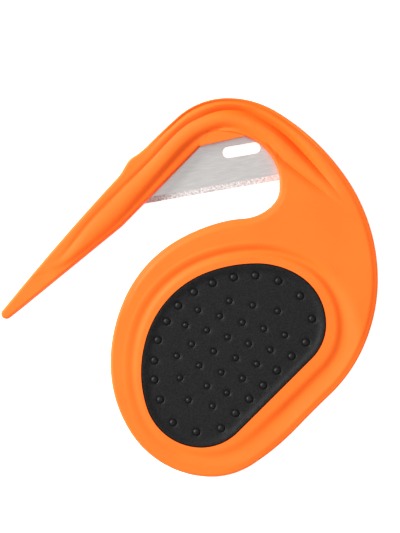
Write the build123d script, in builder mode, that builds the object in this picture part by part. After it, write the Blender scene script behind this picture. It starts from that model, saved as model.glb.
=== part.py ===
"""Hook cutter: two moulded shells clamp a fixed blade across a throat, with a rubber pad on each side.

The cutter lies flat. X and Y span its face, Z is its thickness, and Z = 0 is the plane of its rear face.
X = 0 and Y = 0 are the middle of its overall length and height. All sizes are in millimetres.
"""

import os
from math import cos, radians, sin

from build123d import *

os.makedirs("parts", exist_ok=True)

# Driving dimensions ------------------------------------------------------------------------------
SHELL_THICK = 6.5
WALL = 2.2
EDGE_ROUND = 1.5

TIP_ROUND = 1.8
BEND_ROUND = 8.0
TAPER_START = (-28.0, 24.0)
TAPER_HEADING = 228.0
TAPER_DROP = 2.8
TAPER_LENGTH = 62.0
TAPER_REACH = 14.0

PAD_THICK = 2.0
PAD_SINK = 0.4
PAD_GAP = 0.1
PAD_FLOOR = 1.7
PAD_RIM_ROUND = 0.6

BUMP_R = 1.2
BUMP_TOP_R = 0.7
BUMP_HEIGHT = 0.35
# Bumps round the rim of the pad, clockwise from its top
RIM_BUMPS = [
    (14.9, 3.3), (22.1, 3.9), (29.7, 2.1), (37.0, -2.9), (40.9, -10.5), (38.8, -18.3), (34.1, -22.9),
    (29.3, -27.6), (24.7, -32.6), (20.1, -37.1), (15.5, -41.8), (10.7, -46.8), (2.5, -48.0),
    (-5.3, -44.9), (-9.5, -37.3), (-11.4, -30.7), (-11.4, -24.3), (-10.3, -17.5), (-7.3, -11.3),
    (-3.5, -6.1), (1.7, -1.6), (7.9, 1.4),
]
# Bumps inside them, one sloping row to a line
INNER_BUMPS = [
    (13.5, -4.6), (21.3, -6.0), (29.5, -8.0),
    (3.1, -7.6), (10.3, -9.6), (17.8, -11.7), (24.9, -13.8), (31.9, -15.9),
    (-1.1, -12.6), (6.0, -14.3), (12.9, -16.6), (19.9, -18.8), (27.1, -20.8),
    (1.0, -18.9), (8.3, -21.3), (15.6, -23.5), (22.6, -25.5),
    (-3.9, -22.8), (3.5, -26.0), (10.8, -28.3), (17.9, -30.3),
    (-2.9, -30.1), (6.1, -32.8), (12.7, -35.1),
    (-0.1, -37.5), (7.9, -39.5),
]

RING_INSIDE = 3.0
RING_OUTSIDE = 5.3
RING_DEPTH = 0.8
RIB_GROOVE_WIDTH = 1.8
RIB_GROOVE_DEPTH = 0.7

BLADE_LENGTH = 52.0
BLADE_WIDTH = 18.0
BLADE_THICK = 0.5
BLADE_HEADING = 9.98
BLADE_CORNER = (-16.7, 27.47)
BLADE_CLIP = 5.0
BEVEL_WIDTH = 1.9
EDGE_THICK = 0.06
SLOT_LENGTH = 12.7
SLOT_WIDTH = 3.7
SLOT_AT = (36.8, 12.0)
POCKET_GAP = 0.15
LEDGE_HEIGHT = 4.9

SCREW_SPOTS = [(-3.0, -20.0), (30.0, -8.0), (8.0, -40.0), (47.0, 14.0), (41.0, 37.0), (-29.0, 22.7)]
SCREW_HEAD_R = 2.4
SCREW_HEAD_HEIGHT = 1.6
SCREW_CORE_R = 1.05
SCREW_THREAD_R = 1.4
SCREW_PITCH = 1.0
SCREW_LENGTH = 5.2
SCREW_PLAIN = 2.3
DRIVE_R = 1.1
DRIVE_SLOT = 0.6
DRIVE_DEPTH = 0.9
WELL_R = 2.7
SHANK_HOLE_R = 1.6
BOSS_R = 3.4

DOWEL_SPOTS = [(-37.0, 14.6), (20.0, 57.0)]
DOWEL_R = 1.3
DOWEL_HEIGHT = 2.5
DOWEL_GAP = 0.1

RIB_WIDTH = 1.4

# Levels that follow from them ----------------------------------------------------------------------
SEAM = SHELL_THICK
TOP = 2 * SHELL_THICK
PAD_DEPTH = PAD_SINK + PAD_THICK
SCREW_SEAT = PAD_DEPTH + PAD_FLOOR

# Outline of the body -------------------------------------------------------------------------------
# A straight run up the arm's outer edge, then arcs that each leave the last one smoothly: the small
# bulge over the blade's corner, the crown, the right flank, round the paddle, and back along the
# throat to the inside of the crown.
ARM_TIP = (-73.9, -21.9)
ARM_OUTER_START = (-56.4, -0.7)
ARM_BEND = (-22.2, 20.4)
OUTLINE_KNOTS = [
    (-23.8, 36.5), (-22.4, 38.4), (-20.9, 41.0), (-18.4, 43.5), (-16.0, 45.2), (-13.3, 47.7),
    (-4.2, 56.4), (12.7, 63.0), (28.8, 58.6), (52.3, 36.5), (62.8, 4.1), (56.5, -23.0),
    (47.2, -35.4), (35.6, -47.0), (21.0, -59.0), (6.7, -63.0), (-19.5, -48.2), (-26.2, -24.4),
    (-21.4, -3.5), (-4.1, 15.6), (11.0, 21.8), (18.0, 22.9), (23.0, 24.1), (28.2, 27.9),
    (30.1, 32.1), (29.1, 40.2), (25.7, 45.6), (18.2, 50.3), (10.5, 51.5), (5.9, 49.1),
]

with BuildLine() as body_line:
    leg = Line(ARM_TIP, ARM_OUTER_START)
    for knot in OUTLINE_KNOTS:
        leg = TangentArc(leg @ 1, knot, tangent=leg % 1)
    Polyline(OUTLINE_KNOTS[-1], ARM_BEND, ARM_TIP)

with BuildSketch() as body_sketch:
    make_face(body_line.edges())
    fillet(body_sketch.vertices().sort_by_distance(ARM_TIP)[0], radius=TIP_ROUND)
    fillet(body_sketch.vertices().sort_by_distance(ARM_BEND)[0], radius=BEND_ROUND)

# Outline of the grip pad's recess, an egg with one straight side -------------------------------------
PAD_START = (-14.8, -18.9)
PAD_START_HEADING = 77.1
PAD_KNOTS = [
    (-8.4, -5.5), (6.2, 5.1), (22.5, 8.0), (36.5, 4.0), (45.5, -12.5), (40.8, -23.6),
    (16.1, -48.2), (1.4, -53.0), (-14.1, -39.8), PAD_START,
]

with BuildLine() as pad_line:
    pad_heading = (cos(radians(PAD_START_HEADING)), sin(radians(PAD_START_HEADING)))
    leg = TangentArc(PAD_START, PAD_KNOTS[0], tangent=pad_heading)
    for knot in PAD_KNOTS[1:]:
        leg = TangentArc(leg @ 1, knot, tangent=leg % 1)

with BuildSketch() as recess_sketch:
    make_face(pad_line.edges())

# Centre lines of the two grooves that leave the raised rib between them ------------------------------
OUTER_GROOVE = [
    (-42.3, 11.0), (-28.2, 27.7), (-14.9, 41.4), (-4.0, 52.5), (3.5, 57.3), (11.8, 59.2),
    (20.2, 57.6), (31.3, 50.3), (44.2, 37.1), (50.2, 30.1),
]
INNER_GROOVE = [
    (-40.9, 8.5), (-23.4, 23.4), (-11.5, 36.7), (-0.2, 48.4), (8.9, 53.1), (15.4, 53.1),
    (24.9, 48.7), (34.2, 39.8), (49.3, 27.6),
]

with BuildSketch() as groove_sketch:
    for centre_line in (OUTER_GROOVE, INNER_GROOVE):
        with BuildLine() as groove_line:
            Spline(*centre_line)
        trace(groove_line.edges(), line_width=RIB_GROOVE_WIDTH)

# The part of the body that is hollow: the paddle and the right flank -------------------------------
HOLLOW_REGION = [(-30, -66), (66, -66), (66, 30), (30, 30), (-10, 22), (-30, 8)]

with BuildSketch() as hollow_sketch:
    add(body_sketch.sketch)
    offset(amount=-WALL)
    with BuildLine() as hollow_limit:
        Polyline(*HOLLOW_REGION, close=True)
    make_face(hollow_limit.edges(), mode=Mode.INTERSECT)

# Stiffening ribs inside the hollow, square across each other, through the screw bosses ---------------
RIB_HEADING = 45.0
RIB_SPACING = 24.0
RIB_MIDDLE = (14.0, -20.0)
RIB_LENGTH = 120.0

with BuildSketch() as stiffener_sketch:
    with Locations(RIB_MIDDLE):
        for heading in (RIB_HEADING, RIB_HEADING + 90):
            with Locations(Rotation(0, 0, heading)):
                with GridLocations(0, RIB_SPACING, 1, 3):
                    Rectangle(RIB_LENGTH, RIB_WIDTH)
    add(hollow_sketch.sketch, mode=Mode.INTERSECT)

# Blade ---------------------------------------------------------------------------------------------
# The blade's frame has its X along the cutting edge and its Y across the blade, from edge to spine.
blade_plane = Plane(origin=(*BLADE_CORNER, SEAM)).rotated((0, 0, BLADE_HEADING))

with BuildPart() as blade:
    with BuildSketch(Plane(blade_plane.origin, x_dir=blade_plane.y_dir, z_dir=blade_plane.x_dir)):
        with BuildLine():
            Polyline(
                (0, -EDGE_THICK / 2),
                (BEVEL_WIDTH, -BLADE_THICK / 2),
                (BLADE_WIDTH, -BLADE_THICK / 2),
                (BLADE_WIDTH, BLADE_THICK / 2),
                (BEVEL_WIDTH, BLADE_THICK / 2),
                (0, EDGE_THICK / 2),
                close=True,
            )
        make_face()
    extrude(amount=BLADE_LENGTH)
    spine_edges = blade.edges().filter_by(Axis.Z).group_by(SortBy.LENGTH)[-1]
    chamfer(spine_edges, length=BLADE_CLIP)
    with BuildSketch(blade_plane):
        with Locations(SLOT_AT):
            SlotOverall(SLOT_LENGTH, SLOT_WIDTH)
    extrude(amount=BLADE_THICK, both=True, mode=Mode.SUBTRACT)
blade.part.label = "blade"
export_step(blade.part, "parts/blade.step")

# Pocket that holds the blade's ends and spine, half in each shell
with BuildSketch(blade_plane) as pocket_sketch:
    with Locations((BLADE_LENGTH / 2, BLADE_WIDTH / 2)):
        Rectangle(BLADE_LENGTH + 2 * POCKET_GAP, BLADE_WIDTH + 2 * POCKET_GAP)
    chamfer(pocket_sketch.vertices().group_by(Axis.Y)[-1], length=BLADE_CLIP)

# Ledge over the blade's spine, from the arm's inner side to the crown's inner curve
LEDGE_POINTS = [(3.4, 46.95), (20.0, 50.64), (14.0, 54.0), (4.0, 51.0)]

# Screw ---------------------------------------------------------------------------------------------
# One self-tapping screw, pointing up from the plane under its head, with a slotted pan head.
with BuildPart() as screw:
    with BuildSketch(Plane.XZ):
        with BuildLine():
            thread = [(SCREW_CORE_R, SCREW_PLAIN)]
            ridges = int((SCREW_LENGTH - SCREW_PLAIN) / SCREW_PITCH)
            for ridge in range(ridges):
                low = SCREW_PLAIN + ridge * SCREW_PITCH
                thread.append((SCREW_THREAD_R, low + SCREW_PITCH / 3))
                thread.append((SCREW_CORE_R, low + 2 * SCREW_PITCH / 3))
            thread.append((SCREW_CORE_R, SCREW_LENGTH - SCREW_PITCH / 3))
            Polyline(
                (0, -SCREW_HEAD_HEIGHT),
                (SCREW_HEAD_R, -SCREW_HEAD_HEIGHT),
                (SCREW_HEAD_R, 0),
                (SCREW_CORE_R, 0),
                *thread,
                (0, SCREW_LENGTH),
                close=True,
            )
        make_face()
    revolve(axis=Axis.Z)
    fillet(screw.edges().group_by(Axis.Z)[0], radius=SCREW_HEAD_HEIGHT / 4)
    with BuildSketch(Plane.XY.offset(-SCREW_HEAD_HEIGHT)):
        Rectangle(2 * DRIVE_R, DRIVE_SLOT)
        Rectangle(DRIVE_SLOT, 2 * DRIVE_R)
    extrude(amount=DRIVE_DEPTH, mode=Mode.SUBTRACT)

with BuildPart() as shell_screws:
    with Locations(*[(x, y, SCREW_SEAT) for x, y in SCREW_SPOTS]):
        add(screw.part)
shell_screws.part.label = "shell_screws"
export_step(shell_screws.part, "parts/shell_screws.step")

# Shells --------------------------------------------------------------------------------------------
# Both halves share this form, made as the front one, from the seam up to the front face.
taper_along = Vector(cos(radians(TAPER_HEADING)), sin(radians(TAPER_HEADING)), 0)
taper_across = taper_along.cross(Vector(0, 0, 1))
taper_side = Plane(origin=(*TAPER_START, TOP), x_dir=taper_along, z_dir=taper_across)

with BuildPart() as half_shell:
    with BuildSketch(Plane.XY.offset(SEAM)):
        add(body_sketch.sketch)
    extrude(amount=SHELL_THICK)
    # the arm thins towards its tip
    with BuildSketch(taper_side):
        with BuildLine():
            Polyline((0, 0), (TAPER_LENGTH, 0), (TAPER_LENGTH, -TAPER_DROP), close=True)
        make_face()
    extrude(amount=TAPER_REACH, both=True, mode=Mode.SUBTRACT)
    upper_edges = half_shell.faces().filter_by(lambda face: face.normal_at().Z > 0.5).edges()
    rim_edges = [edge for edge in upper_edges if upper_edges.count(edge) == 1]
    fillet(rim_edges, radius=EDGE_ROUND)
    # ledge over the blade's spine
    with BuildSketch(Plane.XY.offset(SEAM)):
        with BuildLine():
            Polyline(*LEDGE_POINTS, close=True)
        make_face()
    extrude(amount=LEDGE_HEIGHT)
    # hollow paddle and flank, with the floor of the pad's recess and stiffening ribs across it
    with BuildSketch(Plane.XY.offset(SEAM)):
        add(hollow_sketch.sketch)
    extrude(amount=SHELL_THICK - WALL, mode=Mode.SUBTRACT)
    with BuildSketch(Plane.XY.offset(TOP - SCREW_SEAT)):
        add(recess_sketch.sketch)
        offset(amount=WALL)
    extrude(amount=SCREW_SEAT - WALL / 2)
    with BuildSketch(Plane.XY.offset(SEAM)):
        add(stiffener_sketch.sketch)
        with Locations(*SCREW_SPOTS):
            Circle(BOSS_R)
        add(body_sketch.sketch, mode=Mode.INTERSECT)
    extrude(amount=SHELL_THICK - WALL)
    # recess for the pad, groove round it, and the two grooves beside the rib
    with BuildSketch(Plane.XY.offset(TOP)):
        add(recess_sketch.sketch)
    extrude(amount=-PAD_DEPTH, mode=Mode.SUBTRACT)
    with BuildSketch(Plane.XY.offset(TOP)):
        add(recess_sketch.sketch)
        offset(amount=RING_OUTSIDE)
        with BuildSketch(mode=Mode.PRIVATE) as ring_inner:
            add(recess_sketch.sketch)
            offset(amount=RING_INSIDE)
        add(ring_inner.sketch, mode=Mode.SUBTRACT)
    extrude(amount=-RING_DEPTH, mode=Mode.SUBTRACT)
    with BuildSketch(Plane.XY.offset(TOP)):
        add(groove_sketch.sketch)
    extrude(amount=-RIB_GROOVE_DEPTH, mode=Mode.SUBTRACT)
    # half of the blade's pocket
    with BuildSketch(Plane.XY.offset(SEAM)):
        add(pocket_sketch.sketch)
    extrude(amount=(BLADE_THICK + POCKET_GAP) / 2, mode=Mode.SUBTRACT)

with BuildPart() as front_shell:
    add(half_shell.part)
    with Locations(*[(x, y, SCREW_SEAT) for x, y in SCREW_SPOTS]):
        add(screw.part, mode=Mode.SUBTRACT)
    with BuildSketch(Plane.XY.offset(SEAM)):
        with Locations(*DOWEL_SPOTS):
            Circle(DOWEL_R + DOWEL_GAP)
    extrude(amount=DOWEL_HEIGHT + DOWEL_GAP, mode=Mode.SUBTRACT)
front_shell.part.label = "front_shell"
export_step(front_shell.part, "parts/front_shell.step")

with BuildPart() as rear_shell:
    mirror(half_shell.part, about=Plane.XY.offset(SEAM))
    with BuildSketch():
        with Locations(*SCREW_SPOTS):
            Circle(WELL_R)
    extrude(amount=SCREW_SEAT, mode=Mode.SUBTRACT)
    with BuildSketch():
        with Locations(*SCREW_SPOTS):
            Circle(SHANK_HOLE_R)
    extrude(amount=SEAM, mode=Mode.SUBTRACT)
    with BuildSketch(Plane.XY.offset(SEAM)):
        with Locations(*DOWEL_SPOTS):
            Circle(DOWEL_R)
    extrude(amount=DOWEL_HEIGHT)
rear_shell.part.label = "rear_shell"
export_step(rear_shell.part, "parts/rear_shell.step")

# Grip pads -----------------------------------------------------------------------------------------
with BuildPart() as front_grip_pad:
    with BuildSketch(Plane.XY.offset(TOP - PAD_DEPTH)):
        add(recess_sketch.sketch)
        offset(amount=-PAD_GAP)
    extrude(amount=PAD_THICK)
    fillet(front_grip_pad.faces().sort_by(Axis.Z)[-1].edges(), radius=PAD_RIM_ROUND)
    with Locations(*[(x, y, TOP - PAD_SINK) for x, y in RIM_BUMPS + INNER_BUMPS]):
        Cone(BUMP_R, BUMP_TOP_R, BUMP_HEIGHT, align=(Align.CENTER, Align.CENTER, Align.MIN))
front_grip_pad.part.label = "front_grip_pad"
export_step(front_grip_pad.part, "parts/front_grip_pad.step")

with BuildPart() as rear_grip_pad:
    mirror(front_grip_pad.part, about=Plane.XY.offset(SEAM))
rear_grip_pad.part.label = "rear_grip_pad"
export_step(rear_grip_pad.part, "parts/rear_grip_pad.step")
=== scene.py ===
import math

import bmesh
import bpy
import numpy as np
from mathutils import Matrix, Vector, geometry


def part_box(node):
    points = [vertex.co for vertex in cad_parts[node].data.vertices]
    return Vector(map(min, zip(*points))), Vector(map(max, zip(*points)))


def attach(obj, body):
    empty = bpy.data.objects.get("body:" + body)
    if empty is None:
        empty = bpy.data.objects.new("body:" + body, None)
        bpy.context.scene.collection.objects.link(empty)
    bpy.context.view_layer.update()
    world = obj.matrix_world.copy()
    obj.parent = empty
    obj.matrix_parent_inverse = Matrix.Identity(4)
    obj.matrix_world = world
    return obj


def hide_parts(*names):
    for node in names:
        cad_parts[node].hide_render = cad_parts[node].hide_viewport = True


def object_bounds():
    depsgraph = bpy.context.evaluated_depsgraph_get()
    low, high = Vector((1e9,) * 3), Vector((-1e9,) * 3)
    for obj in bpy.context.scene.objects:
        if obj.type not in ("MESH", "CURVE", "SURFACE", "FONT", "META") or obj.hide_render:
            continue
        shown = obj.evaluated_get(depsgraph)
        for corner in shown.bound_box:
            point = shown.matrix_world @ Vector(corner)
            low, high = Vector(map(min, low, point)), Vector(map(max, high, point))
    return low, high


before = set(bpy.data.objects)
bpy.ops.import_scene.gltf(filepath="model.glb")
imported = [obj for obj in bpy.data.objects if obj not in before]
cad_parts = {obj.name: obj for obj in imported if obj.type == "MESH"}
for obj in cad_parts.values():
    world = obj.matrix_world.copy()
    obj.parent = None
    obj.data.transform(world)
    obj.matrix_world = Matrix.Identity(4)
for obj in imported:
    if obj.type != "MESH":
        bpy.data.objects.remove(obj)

# Hook cutter: two orange shells that clamp a fixed blade across a throat, with a rubber pad on each side.
# The shells and pads are built here; the blade and the screws are the CAD's own meshes.

cad_low, cad_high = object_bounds()
MM = 0.001

# Sizes, in millimetres, in the frame of the cutter: X and Y span its face and Z is its thickness ------
shell_low, shell_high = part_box("front_shell")
SEAM = shell_low.z / MM
TOP = shell_high.z / MM
SHELL_THICK = TOP - SEAM
PAD_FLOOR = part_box("front_grip_pad")[0].z / MM

# The outline of the body, as in the CAD part: straight up the arm's outer edge, then arcs that each
# leave the last one smoothly, round the crown, flank and paddle and back to the arm's inner side.
ARM_TIP = (-73.9, -21.9)
ARM_OUTER_START = (-56.4, -0.7)
ARM_BEND = (-22.2, 20.4)
OUTLINE_KNOTS = [
    (-23.8, 36.5), (-22.4, 38.4), (-20.9, 41.0), (-18.4, 43.5), (-16.0, 45.2), (-13.3, 47.7),
    (-4.2, 56.4), (12.7, 63.0), (28.8, 58.6), (52.3, 36.5), (62.8, 4.1), (56.5, -23.0),
    (47.2, -35.4), (35.6, -47.0), (21.0, -59.0), (6.7, -63.0), (-19.5, -48.2), (-26.2, -24.4),
    (-21.4, -3.5), (-4.1, 15.6), (11.0, 21.8), (18.0, 22.9), (23.0, 24.1), (28.2, 27.9),
    (30.1, 32.1), (29.1, 40.2), (25.7, 45.6), (18.2, 50.3), (10.5, 51.5), (5.9, 49.1),
]
TIP_ROUND = 1.8
BEND_ROUND = 8.0

# The grip pad's recess, an egg with one straight side
PAD_START = (-14.8, -18.9)
PAD_START_HEADING = math.radians(77.1)
PAD_KNOTS = [
    (-8.4, -5.5), (6.2, 5.1), (22.5, 8.0), (36.5, 4.0), (45.5, -12.5), (40.8, -23.6),
    (16.1, -48.2), (1.4, -53.0), (-14.1, -39.8), PAD_START,
]

# Centre lines of the two grooves, with the raised rib between them
OUTER_GROOVE = [
    (-45.2, 8.5), (-41.8, 10.6), (-34.7, 19.6), (-27.7, 27.2), (-14.2, 40.6), (-3.4, 51.8), (3.9, 56.4),
    (11.8, 58.8), (20.3, 57.6), (31.7, 50.7), (44.4, 37.3), (51.5, 28.2),
]
INNER_GROOVE = [
    (-45.3, 5.9), (-40.3, 7.8), (-31.6, 14.4), (-22.5, 22.4), (-10.5, 35.8), (0.4, 47.5), (8.9, 52.3),
    (15.4, 52.5), (24.9, 48.4), (34.2, 39.8), (51.5, 26.6),
]

# The straight front of the ledge that covers the blade's spine
LEDGE_POINTS = [(3.4, 46.95), (20.0, 50.64), (14.0, 54.0), (4.0, 51.0)]
LEDGE_HEIGHT = 4.9

# The rounded side: how far it reaches in from the outline, its two curve powers, and the angle in degrees
# above the seam where the outer face takes over
SIDE_WIDTH = 0.65
SIDE_POWER = 2.2
SIDE_HEIGHT_POWER = 3.5
SIDE_START = 18.0

# The arm's taper, which starts at a point and runs along a heading
TAPER_START = np.array([-28.0, 24.0])
TAPER_HEADING = math.radians(228.0)
TAPER_DROP = 2.8
TAPER_LENGTH = 62.0
TAPER_REACH = 14.0

# The fine groove inside the crown's edge, which opens into a step on the flank and dies away round the
# bottom, as (millimetres along the outline, depth) pairs
EDGE_GROOVE = [
    (60, 0.0), (80, 0.75), (120, 0.8), (155, 0.55), (235, 0.45), (275, 0.0),
    (345, 0.0), (365, 0.55), (400, 0.65), (425, 0.0),
]
EDGE_GROOVE_INSET = 1.2
EDGE_GROOVE_HALF_WIDTH = 0.9
EDGE_STEP_RANGE = (110, 140)

# How the grooves change along their length, as (place from 0 to 1, millimetres) pairs
OUTER_DEPTH = [
    (0.0, 0.0), (0.06, 0.4), (0.4, 0.5), (0.52, 0.8), (0.65, 2.2), (0.82, 2.8), (0.97, 0.0),
]
OUTER_RIM_WIDTH = [(0.0, 1.5), (0.4, 1.5), (0.6, 2.3), (1.0, 2.7)]
INNER_DEPTH = [
    (0.0, 0.0), (0.08, 0.9), (0.2, 1.35), (0.5, 1.6), (0.6, 1.7), (0.7, 1.3), (0.9, 0.9), (0.98, 0.0),
]
# Share of the inner groove's depth that the face beyond it climbs back, along the groove in the same way
INNER_RIM_RISE = [(0.0, 0.0), (0.5, 0.0), (0.62, 0.6), (0.7, 1.0), (1.0, 1.0)]
INNER_RIM_WIDTH = 2.4
# Where it doesn't climb back, that face falls by this share of the depth a millimetre, then fades away
FLANGE_SLOPE = 0.14
FLANGE_REACH = 4.0
FLANGE_FADE = (5.0, 10.0)
# The rib's arch, and the part of its width over which one groove's depth passes into the other's
ARCH_POWER = 0.9
RIB_BLEND = (0.2, 0.8)

# The ring groove round the pad: (direction from the pad's middle in degrees, distance, depth, inner and
# outer half widths)
PAD_MIDDLE = np.array([14.0, -23.0])
RING_GROOVE = [
    (-180, 3.0, 0.25, 2.0, 2.0), (-150, 2.4, 0.22, 1.8, 2.0), (-110, 2.8, 0.3, 2.0, 2.4),
    (-75, 5.6, 0.5, 3.0, 5.0), (-45, 6.3, 0.95, 3.2, 7.0), (5, 6.3, 0.95, 3.2, 7.0),
    (35, 5.0, 0.9, 2.4, 3.0), (60, 4.2, 0.9, 2.1, 2.1), (100, 4.0, 0.8, 2.1, 2.1),
    (150, 3.7, 0.4, 2.1, 2.1), (180, 3.0, 0.25, 2.0, 2.0),
]
# The low lip outside the ring groove, as a share of its depth, where the groove's outer side is steep
RING_LIP = 0.2
RING_LIP_OFFSET = 0.5
RING_LIP_HALF_WIDTH = 0.8
STEEP_SIDE = 3.0


# Plane curves --------------------------------------------------------------------------------------
def arc_from(start, heading, end, step):
    """Points after start on the arc that leaves start along heading for end, and its last heading."""
    chord = np.subtract(end, start)
    length = math.hypot(*chord)
    bearing = math.atan2(chord[1], chord[0])
    half_turn = (bearing - heading + math.pi) % (2 * math.pi) - math.pi
    arc_length = length * (half_turn / math.sin(half_turn) if abs(half_turn) > 1e-6 else 1.0)
    count = max(2, round(arc_length / step))
    points = []
    for index in range(1, count + 1):
        part = index / count
        if abs(half_turn) < 1e-6:
            points.append(np.add(start, chord * part))
        else:
            reach = length * math.sin(half_turn * part) / math.sin(half_turn)
            angle = heading + half_turn * part
            points.append(np.add(start, (reach * math.cos(angle), reach * math.sin(angle))))
    return points, heading + 2 * half_turn


def arc_chain(start, heading, knots, step):
    """Points along arcs through the knots, each arc leaving the last one in its direction."""
    points = [np.array(start, float)]
    for knot in knots:
        more, heading = arc_from(points[-1], heading, knot, step)
        points += more
    return points


def rounded_corner(before, corner, after, radius, step):
    """Points on the fillet of a corner between two straight runs."""
    corner = np.array(corner, float)
    to_before = np.subtract(before, corner) / np.linalg.norm(np.subtract(before, corner))
    to_after = np.subtract(after, corner) / np.linalg.norm(np.subtract(after, corner))
    half_angle = math.acos(float(np.clip(to_before @ to_after, -1, 1))) / 2
    setback = radius / math.tan(half_angle)
    first, last = corner + to_before * setback, corner + to_after * setback
    heading = math.atan2(-to_before[1], -to_before[0])
    points, _ = arc_from(first, heading, last, step)
    return [first] + points


def evenly(points, step, closed=True):
    """The same curve with points evenly spaced along it."""
    points = np.array(points)
    if closed:
        points = np.vstack([points, points[:1]])
    lengths = np.r_[0, np.cumsum(np.linalg.norm(np.diff(points, axis=0), axis=1))]
    keep = np.r_[True, np.diff(lengths) > 1e-6]
    points, lengths = points[keep], lengths[keep]
    count = round(lengths[-1] / step)
    places = np.linspace(0, lengths[-1], count + 1)
    even = np.stack([np.interp(places, lengths, points[:, axis]) for axis in (0, 1)], axis=1)
    return even[:-1] if closed else even


def smooth_line(knots, step):
    """Catmull-Rom curve through the knots, evenly spaced."""
    knots = np.array(knots, float)
    padded = np.vstack([2 * knots[0] - knots[1], knots, 2 * knots[-1] - knots[-2]])
    points = []
    for index in range(len(knots) - 1):
        p0, p1, p2, p3 = padded[index:index + 4]
        t = np.linspace(0, 1, 24, endpoint=False)[:, None]
        points.append(0.5 * (2 * p1 + (p2 - p0) * t + (2 * p0 - 5 * p1 + 4 * p2 - p3) * t ** 2
                             + (3 * p1 - p0 - 3 * p2 + p3) * t ** 3))
    return evenly(np.vstack(points + [knots[-1:]]), step, closed=False)


def nearest(curve, points, closed=True):
    """For each point: distance to the curve, side (+1 on the left of travel) and place along it, 0 to 1."""
    starts = curve
    ends = np.roll(curve, -1, axis=0)
    if not closed:
        starts, ends = curve[:-1], curve[1:]
    runs = ends - starts
    squares = (runs ** 2).sum(1)
    distance, side, place = np.empty(len(points)), np.empty(len(points)), np.empty(len(points))
    for low in range(0, len(points), 1500):
        part = points[low:low + 1500]
        offsets = part[:, None, :] - starts[None]
        along = np.clip((offsets * runs).sum(2) / squares, 0, 1)
        gaps = offsets - along[:, :, None] * runs
        lengths = (gaps ** 2).sum(2)
        best = lengths.argmin(1)
        rows = np.arange(len(part))
        distance[low:low + 1500] = np.sqrt(lengths[rows, best])
        run, gap = runs[best], offsets[rows, best]
        side[low:low + 1500] = np.sign(run[:, 0] * gap[:, 1] - run[:, 1] * gap[:, 0])
        place[low:low + 1500] = (best + along[rows, best]) / len(starts)
    return distance, side, place


def inside(curve, points):
    """True for each point inside a closed curve."""
    result = np.zeros(len(points), bool)
    x, y = points[:, 0], points[:, 1]
    for (x0, y0), (x1, y1) in zip(curve, np.roll(curve, -1, axis=0)):
        if y0 != y1:
            crosses = (y0 > y) != (y1 > y)
            result ^= crosses & (x < (x1 - x0) * (y - y0) / (y1 - y0) + x0)
    return result


def moved(curve, distance):
    """A closed clockwise curve moved inwards, point for point."""
    tangent = np.roll(curve, -1, axis=0) - np.roll(curve, 1, axis=0)
    tangent /= np.linalg.norm(tangent, axis=1)[:, None]
    return curve + distance * np.stack([tangent[:, 1], -tangent[:, 0]], axis=1)


def inset(curve, distance):
    """The points of a closed clockwise curve moved inwards, without those that would cross over."""
    points = moved(curve, distance)
    gap, _, _ = nearest(curve, points)
    return points[gap > abs(distance) - 0.02]


def beside(line, distance):
    """An open line moved to its right."""
    tangent = np.gradient(line, axis=0)
    tangent /= np.linalg.norm(tangent, axis=1)[:, None]
    return line + distance * np.stack([tangent[:, 1], -tangent[:, 0]], axis=1)


def circle(centre, radius, count):
    """Points round a circle, clockwise."""
    angles = -2 * math.pi * np.arange(count) / count
    return np.column_stack([centre[0] + radius * np.cos(angles), centre[1] + radius * np.sin(angles)])


STEP = 0.5
arm_run = np.subtract(ARM_OUTER_START, ARM_TIP)
outline = arc_chain(ARM_OUTER_START, math.atan2(arm_run[1], arm_run[0]), OUTLINE_KNOTS, STEP)
outline += rounded_corner(OUTLINE_KNOTS[-1], ARM_BEND, ARM_TIP, BEND_ROUND, STEP)
outline += rounded_corner(ARM_BEND, ARM_TIP, ARM_OUTER_START, TIP_ROUND, STEP / 2)
outline = evenly(outline, STEP)
recess = evenly(arc_chain(PAD_START, PAD_START_HEADING, PAD_KNOTS, STEP), STEP)
outer_groove = smooth_line(OUTER_GROOVE, STEP)
inner_groove = smooth_line(INNER_GROOVE, STEP)


# Height of the shells' outer face above the seam ------------------------------------------------------
def smooth_step(value, low, high):
    """0 up to low, 1 from high on, and a smooth climb between them."""
    t = np.clip((value - low) / (high - low), 0, 1)
    return t * t * (3 - 2 * t)


def hollow_shape(distance, half_width):
    """1 in the middle of a groove, falling smoothly to 0 at its half width."""
    wave = 0.5 + 0.5 * np.cos(np.pi * np.minimum(distance / half_width, 1))
    return np.where(distance < half_width, wave, 0)


def vee_shape(distance, half_width):
    """1 in the middle of a groove with a sharp bottom, falling to 0 at its half width."""
    return 1 - np.sin(np.pi / 2 * np.clip(distance / half_width, 0, 1))


def along_groove(place, pairs):
    """A size that changes smoothly along a groove, from (place, size) pairs."""
    places, sizes = zip(*pairs)
    fine = np.linspace(0, 1, 201)
    values = np.interp(fine, places, sizes)
    weights = np.hanning(25) / np.hanning(25).sum()
    values = np.convolve(np.pad(values, 12, "edge"), weights, "valid")
    return np.interp(place, fine, values)


def side_inset(angle):
    """How far the rounded side is inside the outline, at an angle of 0 (seam) to 90 degrees (top)."""
    return SIDE_WIDTH * (1 - math.cos(math.radians(angle)) ** (2 / SIDE_POWER))


def side_share(edge):
    """The rounded side's height at a distance inside the outline, as a share of the full height."""
    depth = np.clip(1 - edge / SIDE_WIDTH, 0, 1)
    return (1 - depth ** SIDE_POWER) ** (1 / SIDE_HEIGHT_POWER)


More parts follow.
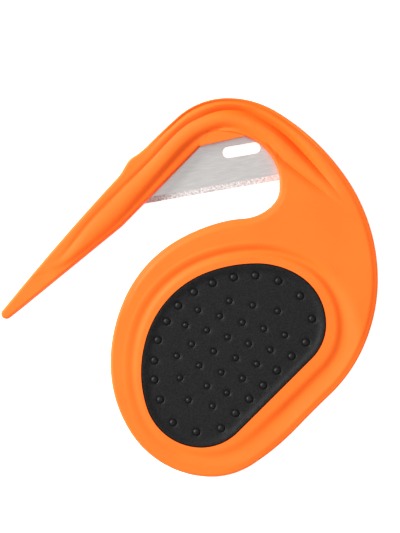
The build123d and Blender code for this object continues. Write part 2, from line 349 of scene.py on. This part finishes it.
def shell_height(points):
    """Height of the outer face above the seam, with its taper, grooves, rib and rounded side."""
    edge, _, edge_place = nearest(outline, points)
    pad, _, _ = nearest(recess, points)
    outer, outer_side, outer_place = nearest(outer_groove, points, closed=False)
    inner, inner_side, inner_place = nearest(inner_groove, points, closed=False)
    along = (points - TAPER_START) @ np.array([math.cos(TAPER_HEADING), math.sin(TAPER_HEADING)])
    across = (points - TAPER_START) @ np.array([math.sin(TAPER_HEADING), -math.cos(TAPER_HEADING)])
    height = SHELL_THICK - TAPER_DROP * np.clip(along / TAPER_LENGTH, 0, 1) * (np.abs(across) < TAPER_REACH)
    # groove inside the edge
    travel = edge_place * len(outline) * STEP
    gap = edge - EDGE_GROOVE_INSET
    gap = np.where(gap < 0, gap * (1 - smooth_step(travel, *EDGE_STEP_RANGE)), gap)
    height -= np.interp(travel, *zip(*EDGE_GROOVE)) * hollow_shape(np.abs(gap), EDGE_GROOVE_HALF_WIDTH)
    # groove round the pad
    away = points - PAD_MIDDLE
    direction = np.degrees(np.arctan2(away[:, 1], away[:, 0]))
    turns, *sizes = zip(*RING_GROOVE)
    centre, depth, inward, outward = [np.interp(direction, turns, size) for size in sizes]
    gap = pad - centre
    height -= depth * hollow_shape(np.abs(gap), np.where(gap < 0, inward, outward))
    lip = hollow_shape(np.abs(gap - outward - RING_LIP_OFFSET), RING_LIP_HALF_WIDTH)
    height += RING_LIP * depth * (outward < STEEP_SIDE) * lip
    # two grooves with an arched rib between them
    outer_depth = along_groove(outer_place, OUTER_DEPTH)
    inner_depth = along_groove(inner_place, INNER_DEPTH)
    between = (outer_side < 0) & (inner_side > 0)
    share = np.clip(outer / np.maximum(outer + inner, 1e-6), 0, 1)
    arch = 1 - np.sin(np.pi * share) ** ARCH_POWER
    blend = smooth_step(share, *RIB_BLEND)
    rib = (outer_depth * (1 - blend) + inner_depth * blend) * arch
    rim = outer_depth * vee_shape(outer, along_groove(outer_place, OUTER_RIM_WIDTH))
    rise = along_groove(inner_place, INNER_RIM_RISE)
    flange = inner_depth * (1 - rise + rise * vee_shape(inner, INNER_RIM_WIDTH))
    flange += FLANGE_SLOPE * inner_depth * (1 - rise) * np.clip(inner, 0, FLANGE_REACH)
    flange *= 1 - smooth_step(inner, *FLANGE_FADE)
    height -= np.where(between, rib, np.where(outer_side > 0, rim, flange))
    return height * side_share(edge)


# Meshes --------------------------------------------------------------------------------------------
def thinned(loops):
    """Points of the (loop, spacing) pairs in turn, without any that come too near one already kept."""
    kept, cells = [], {}
    for loop, spacing in loops:
        for point in loop:
            column, row = int(point[0] // 1), int(point[1] // 1)
            others = [other for left in (-1, 0, 1) for down in (-1, 0, 1)
                      for other in cells.get((column + left, row + down), ())]
            if all((other[0] - point[0]) ** 2 + (other[1] - point[1]) ** 2 >= spacing * spacing
                   for other in others):
                kept.append(point)
                cells.setdefault((column, row), []).append(point)
    return np.array(kept)


def grid_points(low, high, spacing):
    """A triangular grid of points over a box."""
    points = []
    rise = spacing * math.sqrt(3) / 2
    for row, y in enumerate(np.arange(low[1], high[1], rise)):
        shift = spacing / 2 * (row % 2)
        points += [(x + shift, y) for x in np.arange(low[0], high[0], spacing)]
    return np.array(points)


SHARP_ANGLE = 42
WELD_DISTANCE = 0.002
TURN_ANGLE = 0.3
TURN = np.array([
    [math.cos(TURN_ANGLE), math.sin(TURN_ANGLE)],
    [-math.sin(TURN_ANGLE), math.cos(TURN_ANGLE)],
])


def triangulate(borders, points=()):
    """Triangles over the points, inside the first closed border and outside the others.

    Every border runs along edges. The points are turned a little first, so that no two share an X.
    """
    edges, start = [], 0
    for border in borders:
        count = len(border)
        edges += [(start + index, start + (index + 1) % count) for index in range(count)]
        start += count
    stacked = np.vstack([*borders, points]) if len(points) else np.vstack(borders)
    corners = [Vector(corner) for corner in stacked @ TURN]
    turned, _, faces, _, _, _ = geometry.delaunay_2d_cdt(corners, edges, [], 0, 1e-6)
    flat = np.array([tuple(corner) for corner in turned]) @ TURN.T
    faces = np.array([tuple(face) for face in faces])
    centres = flat[faces].mean(axis=1)
    keep = inside(borders[0], centres)
    for hole in borders[1:]:
        keep &= ~inside(hole, centres)
    return flat, faces[keep]


def new_object(name, verts, faces):
    """A Blender object from points in millimetres."""
    mesh = bpy.data.meshes.new(name)
    metres = [tuple(float(size) * MM for size in vert) for vert in verts]
    mesh.from_pydata(metres, [], [tuple(int(index) for index in face) for face in faces])
    mesh.validate()
    piece = bpy.data.objects.new(name, mesh)
    bpy.context.scene.collection.objects.link(piece)
    return piece


def weld(piece):
    """Merges points that fall together, turns all faces outwards and shades the smooth parts smooth."""
    work = bmesh.new()
    work.from_mesh(piece.data)
    bmesh.ops.remove_doubles(work, verts=work.verts, dist=WELD_DISTANCE * MM)
    bmesh.ops.dissolve_degenerate(work, edges=work.edges, dist=WELD_DISTANCE * MM)
    bmesh.ops.recalc_face_normals(work, faces=work.faces)
    work.to_mesh(piece.data)
    work.free()
    piece.data.shade_smooth()
    piece.data.set_sharp_from_angle(angle=math.radians(SHARP_ANGLE))
    return piece


def edge_offsets(radius, count):
    """Insets whose heights step evenly round a quarter circle."""
    return [radius * (1 - math.cos(math.pi / 2 * index / count)) for index in range(1, count + 1)]


class Builder:
    """Collects points and faces for one closed mesh."""

    def __init__(self):
        self.verts, self.faces = [], []

    def add(self, points):
        """Adds the points and gives the number of the first."""
        start = len(self.verts)
        self.verts += [tuple(point) for point in points]
        return start

    def sheet(self, flat, heights, faces):
        """Adds a triangulated sheet, each of its points at its own height."""
        start = self.add(np.column_stack([flat, heights]))
        self.faces += [tuple(int(i) + start for i in face) for face in faces]

    def wall(self, loop_a, loop_b):
        """Faces between two closed loops with the same number of points."""
        a, b, count = self.add(loop_a), self.add(loop_b), len(loop_a)
        for index in range(count):
            after = (index + 1) % count
            self.faces.append((a + index, a + after, b + after, b + index))

    def lid(self, loop, height):
        """A flat face inside a closed loop."""
        flat, faces = triangulate([loop])
        self.sheet(flat, np.full(len(flat), height), faces)

    def finish(self, name, flip):
        """The object, with its heights measured up from the seam, or down from it if flipped."""
        verts = np.array(self.verts)
        verts[:, 2] = SEAM + verts[:, 2] * (-1 if flip else 1)
        return weld(new_object(name, verts, self.faces))


def level(loop, height):
    """The loop's points at one height, or each at its own."""
    heights = height if np.ndim(height) else np.full(len(loop), height)
    return np.column_stack([loop, heights])


# Shells --------------------------------------------------------------------------------------------
SEAM_CHAMFER = 0.2
# Angles in degrees up the rounded side: rows of its wall below SIDE_START, and loops of points above it
WALL_ANGLES = (12, 7, 3)
SIDE_ANGLES = (26, 34, 42, 50, 58, 66, 75, 90)
# Distances inside the outline and outside the recess of the other loops of points
EDGE_LOOPS = (1.2, 1.45, 1.7, 1.95, 2.25, 2.7, 3.2)
BRINK_LOOPS = (0.1, 0.25, 0.4)
RING_LOOPS = np.arange(0.9, 7.8, 0.4)
GROOVE_LOOPS = np.arange(0, 2.2, 0.36)
GRID_SPACING = 1.2
# Least distance of the loops' points from the borders of the outer face
EDGE_CLEAR = 0.03
RECESS_CLEAR = 0.05
WELL_CLEAR = 0.1
SCREW_WELLS = [(47.0, 14.0), (41.0, 37.0), (-29.0, 22.7)]
WELL_RADIUS = 2.7
WELL_SEAT = 2.4
FLOOR_LEVEL = PAD_FLOOR - SEAM


def shell(name, wells, flip):
    """One closed shell: outer face with its grooves, side wall, pad recess, ledge and screw wells."""
    brim = moved(outline, side_inset(SIDE_START))
    loops = [(inset(outline, side_inset(angle)), 0.05) for angle in SIDE_ANGLES]
    loops += [(inset(outline, distance), 0.3) for distance in EDGE_LOOPS]
    loops += [(inset(recess, -distance), 0.05) for distance in BRINK_LOOPS]
    well_loops = [circle(centre, WELL_RADIUS, 40) for centre in wells]
    loops += [(moved(loop, -0.2), 0.1) for loop in well_loops]
    loops += [(inset(recess, -distance), 0.3) for distance in RING_LOOPS]
    for line in (outer_groove, inner_groove):
        loops += [(beside(line, distance), 0.35) for distance in GROOVE_LOOPS]
        loops += [(beside(line, -distance), 0.35) for distance in GROOVE_LOOPS[1:]]
    loops.append((grid_points(outline.min(0), outline.max(0), GRID_SPACING), 0.8))
    points = thinned(loops)
    edge, _, _ = nearest(outline, points)
    pad, _, _ = nearest(recess, points)
    good = inside(outline, points) & ~inside(recess, points) & (pad > RECESS_CLEAR)
    good &= edge > side_inset(SIDE_START) + EDGE_CLEAR
    for centre in wells:
        good &= np.hypot(*(points - centre).T) > WELL_RADIUS + WELL_CLEAR

    build = Builder()
    flat, faces = triangulate([brim, recess] + well_loops, points[good])
    build.sheet(flat, shell_height(flat), faces)
    # rounded side, with a fine chamfer along the seam
    rim = shell_height(brim)
    share = side_share(side_inset(SIDE_START))
    rows = [level(brim, rim)]
    rows += [level(moved(outline, side_inset(angle)), rim * side_share(side_inset(angle)) / share)
             for angle in WALL_ANGLES]
    rows += [level(outline, SEAM_CHAMFER), level(moved(outline, SEAM_CHAMFER), 0.0)]
    for upper, lower in zip(rows, rows[1:]):
        build.wall(upper, lower)
    build.lid(moved(outline, SEAM_CHAMFER), 0.0)
    # recess for the pad
    build.wall(level(recess, shell_height(recess)), level(recess, FLOOR_LEVEL))
    build.lid(recess, FLOOR_LEVEL)
    # wells over the screw heads
    for loop in well_loops:
        build.wall(level(loop, shell_height(loop)), level(loop, WELL_SEAT))
        build.lid(loop, WELL_SEAT)
    # ledge over the blade's spine
    ledge = np.array(LEDGE_POINTS)
    build.wall(level(ledge, LEDGE_HEIGHT), level(ledge, SEAM_CHAMFER))
    build.lid(ledge, LEDGE_HEIGHT)
    build.lid(ledge, SEAM_CHAMFER)
    return build.finish(name, flip)


front = shell("front_shell_moulding", [], False)
rear = shell("rear_shell_moulding", SCREW_WELLS, True)

# Grip pads -----------------------------------------------------------------------------------------
PAD_GAP = 0.1
PAD_LEVEL = 6.2
PAD_RIM_ROUND = 0.4
PAD_DISH = 0.5
PAD_DISH_SIDE = (0.3, 2.9)
PAD_LIFT = 0.02
RIM_BUMP_RADIUS = 1.25
RIM_BUMP_HEIGHT = 0.5
INNER_BUMP_RADIUS = 0.95
INNER_BUMP_HEIGHT = 0.36
MOAT_DEPTH = 0.14
MOAT_HALF_WIDTH = 0.35
# Loops of points round each bump, as shares of its radius
BUMP_RINGS = (1.3, 1.15, 1.05, 1.0, 0.96, 0.85, 0.66, 0.4)

# Bumps round the rim of the pad, clockwise from its top, then those inside them, one sloping row to a line
RIM_BUMPS = [
    (14.9, 3.3), (22.1, 3.9), (29.7, 2.1), (37.0, -2.9), (40.9, -10.5), (38.8, -18.3), (34.1, -22.9),
    (29.3, -27.6), (24.7, -32.6), (20.1, -37.1), (15.5, -41.8), (10.7, -46.8), (2.5, -48.0),
    (-5.3, -44.9), (-9.5, -37.3), (-11.4, -30.7), (-11.4, -24.3), (-10.3, -17.5), (-7.3, -11.3),
    (-3.5, -6.1), (1.7, -1.6), (7.9, 1.4),
]
INNER_BUMPS = [
    (13.5, -4.6), (21.3, -6.0), (29.5, -8.0),
    (3.1, -7.6), (10.3, -9.6), (17.8, -11.7), (24.9, -13.8), (31.9, -15.9),
    (-1.1, -12.6), (6.0, -14.3), (12.9, -16.6), (19.9, -18.8), (27.1, -20.8),
    (1.0, -18.9), (8.3, -21.3), (15.6, -23.5), (22.6, -25.5),
    (-3.9, -22.8), (3.5, -26.0), (10.8, -28.3), (17.9, -30.3),
    (-2.9, -30.1), (6.1, -32.8), (12.7, -35.1),
    (-0.1, -37.5), (7.9, -39.5),
]

bumps = np.array(RIM_BUMPS + INNER_BUMPS)
bump_radii = np.repeat([RIM_BUMP_RADIUS, INNER_BUMP_RADIUS], [len(RIM_BUMPS), len(INNER_BUMPS)])
bump_heights = np.repeat([RIM_BUMP_HEIGHT, INNER_BUMP_HEIGHT], [len(RIM_BUMPS), len(INNER_BUMPS)])
pad_outline = moved(recess, PAD_GAP)


def pad_height(points):
    """Height of the pad above the seam: a rounded rim, a shallow dish, and bumps in fine moats."""
    edge, _, _ = nearest(pad_outline, points)
    height = PAD_LEVEL - PAD_DISH * smooth_step(edge, *PAD_DISH_SIDE)
    depth = np.clip(PAD_RIM_ROUND - edge, 0, PAD_RIM_ROUND)
    height -= PAD_RIM_ROUND - np.sqrt(PAD_RIM_ROUND ** 2 - depth ** 2)
    gaps = np.hypot(points[:, None, 0] - bumps[None, :, 0], points[:, None, 1] - bumps[None, :, 1])
    nearest_bump = gaps.argmin(1)
    gaps, radii = gaps.min(1), bump_radii[nearest_bump]
    height += bump_heights[nearest_bump] * np.sqrt(np.clip(1 - (gaps / radii) ** 2, 0, 1))
    return height - MOAT_DEPTH * hollow_shape(np.abs(gaps - radii), MOAT_HALF_WIDTH)


def grip_pad(name, flip):
    """One closed rubber pad with a rounded rim and domed bumps."""
    loops = [(inset(pad_outline, distance), 0.05) for distance in edge_offsets(PAD_RIM_ROUND, 6)]
    for spot, radius in zip(bumps, bump_radii):
        loops += [(circle(spot, radius * ring, 20), 0.05) for ring in BUMP_RINGS]
        loops.append((spot[None], 0.05))
    loops.append((grid_points(pad_outline.min(0), pad_outline.max(0), 0.9), 0.5))
    points = thinned(loops)
    edge, _, _ = nearest(pad_outline, points)
    points = points[inside(pad_outline, points) & (edge > 0.01)]
    build = Builder()
    flat, faces = triangulate([pad_outline], points)
    build.sheet(flat, pad_height(flat), faces)
    build.wall(level(pad_outline, pad_height(pad_outline)), level(pad_outline, FLOOR_LEVEL + PAD_LIFT))
    build.lid(pad_outline, FLOOR_LEVEL + PAD_LIFT)
    return build.finish(name, flip)


front_pad = grip_pad("front_pad_rubber", False)
rear_pad = grip_pad("rear_pad_rubber", True)

for piece, node, slot_name in (
        (front, "front_shell", "orange_plastic"), (rear, "rear_shell", "orange_plastic"),
        (front_pad, "front_grip_pad", "black_rubber"), (rear_pad, "rear_grip_pad", "black_rubber")):
    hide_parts(node)
    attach(piece, "root")


# Materials -----------------------------------------------------------------------------------------
BLADE_HEADING = math.radians(9.98)
BLADE_CORNER = (-16.7, 27.47)
BEVEL_WIDTH = 1.9
BEVEL_BLEND = 0.08
# Distance across the blade, from the origin, of the line where its ground bevel ends
EDGE_LINE = BLADE_CORNER[1] * math.cos(BLADE_HEADING) - BLADE_CORNER[0] * math.sin(BLADE_HEADING)
BEVEL_LINE = EDGE_LINE + BEVEL_WIDTH


def new_material(name):
    """A material with its node tree's nodes and links, and its shader."""
    material = bpy.data.materials.new(name)
    material.use_nodes = True
    nodes, links = material.node_tree.nodes, material.node_tree.links
    shader = nodes["Principled BSDF"]
    return material, nodes, links, shader


def noise(nodes, links, coordinates, scale, detail=2.0):
    """A noise value from 0 to 1 at the coordinates."""
    node = nodes.new("ShaderNodeTexNoise")
    node.inputs["Scale"].default_value = scale
    node.inputs["Detail"].default_value = detail
    links.new(coordinates, node.inputs["Vector"])
    return node.outputs["Fac"]


def spread(nodes, links, source, low, high):
    """Maps the middle part of a noise value onto low to high."""
    node = nodes.new("ShaderNodeMapRange")
    node.inputs["From Min"].default_value = 0.3
    node.inputs["From Max"].default_value = 0.7
    node.inputs["To Min"].default_value = low
    node.inputs["To Max"].default_value = high
    links.new(source, node.inputs["Value"])
    return node.outputs["Result"]


def mixed(nodes, links, factor, first_colour, second_colour):
    """The first colour where the factor is 0, the second where it is 1."""
    node = nodes.new("ShaderNodeMix")
    node.data_type = "RGBA"
    node.inputs["A"].default_value = (*first_colour, 1)
    node.inputs["B"].default_value = (*second_colour, 1)
    links.new(factor, node.inputs["Factor"])
    return node.outputs["Result"]


def bump(nodes, links, height, distance, strength):
    """A normal bumped by a height from 0 to 1."""
    node = nodes.new("ShaderNodeBump")
    node.inputs["Distance"].default_value = distance
    node.inputs["Strength"].default_value = strength
    links.new(height, node.inputs["Height"])
    return node.outputs["Normal"]


def plastic():
    """Orange plastic with a fine satin texture."""
    material, nodes, links, shader = new_material("orange_plastic")
    place = nodes.new("ShaderNodeTexCoord").outputs["Object"]
    broad = noise(nodes, links, place, 60.0)
    fine = noise(nodes, links, place, 2600.0)
    cloud = spread(nodes, links, broad, 0.0, 1.0)
    colour = mixed(nodes, links, cloud, (0.95, 0.134, 0.008), (0.97, 0.146, 0.010))
    links.new(colour, shader.inputs["Base Color"])
    links.new(spread(nodes, links, fine, 0.55, 0.65), shader.inputs["Roughness"])
    links.new(bump(nodes, links, fine, 0.00004, 0.35), shader.inputs["Normal"])
    shader.inputs["Specular IOR Level"].default_value = 0.25
    return material


def rubber():
    """Black rubber with a fine speckle."""
    material, nodes, links, shader = new_material("black_rubber")
    place = nodes.new("ShaderNodeTexCoord").outputs["Object"]
    broad = noise(nodes, links, place, 180.0)
    fine = noise(nodes, links, place, 1700.0, 4.0)
    speckle = spread(nodes, links, fine, 0.0, 1.0)
    colour = mixed(nodes, links, speckle, (0.0005, 0.0005, 0.0006), (0.008, 0.008, 0.0085))
    links.new(colour, shader.inputs["Base Color"])
    links.new(spread(nodes, links, broad, 0.42, 0.52), shader.inputs["Roughness"])
    links.new(bump(nodes, links, fine, 0.0001, 0.6), shader.inputs["Normal"])
    shader.inputs["Specular IOR Level"].default_value = 0.22
    return material


def blade_steel():
    """Steel brushed along the blade, with a ground bevel along its cutting edge whose paleness is a painted
    sheen.
    """
    material, nodes, links, shader = new_material("blade_steel")
    place = nodes.new("ShaderNodeTexCoord").outputs["Object"]
    turn = nodes.new("ShaderNodeMapping")
    turn.inputs["Rotation"].default_value = (0, 0, -BLADE_HEADING)
    links.new(place, turn.inputs["Vector"])
    stretch = nodes.new("ShaderNodeMapping")
    stretch.inputs["Scale"].default_value = (260, 4200, 400)
    links.new(turn.outputs["Vector"], stretch.inputs["Vector"])
    grain = noise(nodes, links, stretch.outputs["Vector"], 1.0, 3.0)
    brushed = spread(nodes, links, grain, 0.0, 1.0)
    face = mixed(nodes, links, brushed, (0.50, 0.49, 0.48), (0.60, 0.59, 0.58))
    hone = spread(nodes, links, noise(nodes, links, turn.outputs["Vector"], 1500.0, 3.0), 0.0, 1.0)
    # The bevel's ground finish is real, but its paleness is a painted sheen that stands in for the light
    # the tilted bevel catches
    bevel_finish_and_sheen = mixed(nodes, links, hone, (0.40, 0.39, 0.38), (0.86, 0.85, 0.84))
    split = nodes.new("ShaderNodeSeparateXYZ")
    links.new(turn.outputs["Vector"], split.inputs["Vector"])
    on_bevel = nodes.new("ShaderNodeMapRange")
    on_bevel.inputs["From Min"].default_value = (BEVEL_LINE + BEVEL_BLEND) * MM
    on_bevel.inputs["From Max"].default_value = (BEVEL_LINE - BEVEL_BLEND) * MM
    links.new(split.outputs["Y"], on_bevel.inputs["Value"])
    colour = nodes.new("ShaderNodeMix")
    colour.data_type = "RGBA"
    links.new(bevel_finish_and_sheen, colour.inputs["B"])
    links.new(face, colour.inputs["A"])
    links.new(on_bevel.outputs["Result"], colour.inputs["Factor"])
    links.new(colour.outputs["Result"], shader.inputs["Base Color"])
    finish = nodes.new("ShaderNodeMapRange")
    finish.inputs["To Min"].default_value = 0.34
    finish.inputs["To Max"].default_value = 0.6
    links.new(on_bevel.outputs["Result"], finish.inputs["Value"])
    links.new(finish.outputs["Result"], shader.inputs["Roughness"])
    polish = nodes.new("ShaderNodeMapRange")
    polish.inputs["To Min"].default_value = 0.95
    polish.inputs["To Max"].default_value = 0.75
    links.new(on_bevel.outputs["Result"], polish.inputs["Value"])
    links.new(polish.outputs["Result"], shader.inputs["Metallic"])
    links.new(bump(nodes, links, grain, 0.00001, 0.25), shader.inputs["Normal"])
    return material


def screw_steel():
    """Plated steel with a fine grain."""
    material, nodes, links, shader = new_material("screw_steel")
    place = nodes.new("ShaderNodeTexCoord").outputs["Object"]
    grain = noise(nodes, links, place, 900.0)
    plating = spread(nodes, links, grain, 0.0, 1.0)
    colour = mixed(nodes, links, plating, (0.45, 0.45, 0.46), (0.62, 0.62, 0.63))
    links.new(colour, shader.inputs["Base Color"])
    links.new(spread(nodes, links, grain, 0.25, 0.4), shader.inputs["Roughness"])
    shader.inputs["Metallic"].default_value = 1.0
    return material


def dress(piece, material):
    """Gives the whole piece one material."""
    piece.data.materials.clear()
    piece.data.materials.append(material)


orange, black = plastic(), rubber()
for piece in (front, rear):
    dress(piece, orange)
for piece in (front_pad, rear_pad):
    dress(piece, black)
dress(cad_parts["blade"], blade_steel())
dress(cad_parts["shell_screws"], screw_steel())

# Floor, lights and camera ------------------------------------------------------------------------------
FLOOR_GAP = 0.0002
bpy.ops.mesh.primitive_plane_add(size=4.0, location=(0, 0, cad_low.z - FLOOR_GAP))
floor = bpy.context.object
floor.name = "floor"
floor_material, _, _, floor_shader = new_material("floor_paper")
floor_shader.inputs["Base Color"].default_value = (0.9, 0.9, 0.9, 1)
floor_shader.inputs["Roughness"].default_value = 0.9
floor_shader.inputs["Emission Color"].default_value = (1, 1, 1, 1)
floor_shader.inputs["Emission Strength"].default_value = 0.8
floor.data.materials.append(floor_material)

scene = bpy.context.scene
scene.view_settings.view_transform = "Standard"
scene.view_settings.look = "None"
world = bpy.data.worlds.new("studio")
world.use_nodes = True
world.node_tree.nodes["Background"].inputs["Color"].default_value = (1, 1, 1, 1)
world.node_tree.nodes["Background"].inputs["Strength"].default_value = 0.45
scene.world = world

# The point on the cutter at the middle of the picture
AIM = Vector((3.63, 6.9, 6.0)) * MM


def area_light(name, place, size, power):
    """A square light that shines at the cutter."""
    light = bpy.data.lights.new(name, "AREA")
    light.energy = power
    light.size = size
    lamp = bpy.data.objects.new(name, light)
    scene.collection.objects.link(lamp)
    lamp.location = place
    lamp.rotation_euler = (AIM - Vector(place)).to_track_quat("-Z", "Y").to_euler()


area_light("key_light", (-0.98, 0.42, 0.80), 0.6, 35.5)
area_light("overhead_light", (0.0, 0.0, 1.45), 0.8, 1.5)

CAMERA_DISTANCE = 1.2
VIEW_HEIGHT = 0.1777
camera_data = bpy.data.cameras.new("camera")
camera = bpy.data.objects.new("camera", camera_data)
scene.collection.objects.link(camera)
camera.location = (AIM.x, AIM.y, AIM.z + CAMERA_DISTANCE)
camera_data.sensor_fit = "VERTICAL"
camera_data.sensor_height = 24.0
camera_data.lens = camera_data.sensor_height * CAMERA_DISTANCE / VIEW_HEIGHT
scene.camera = camera
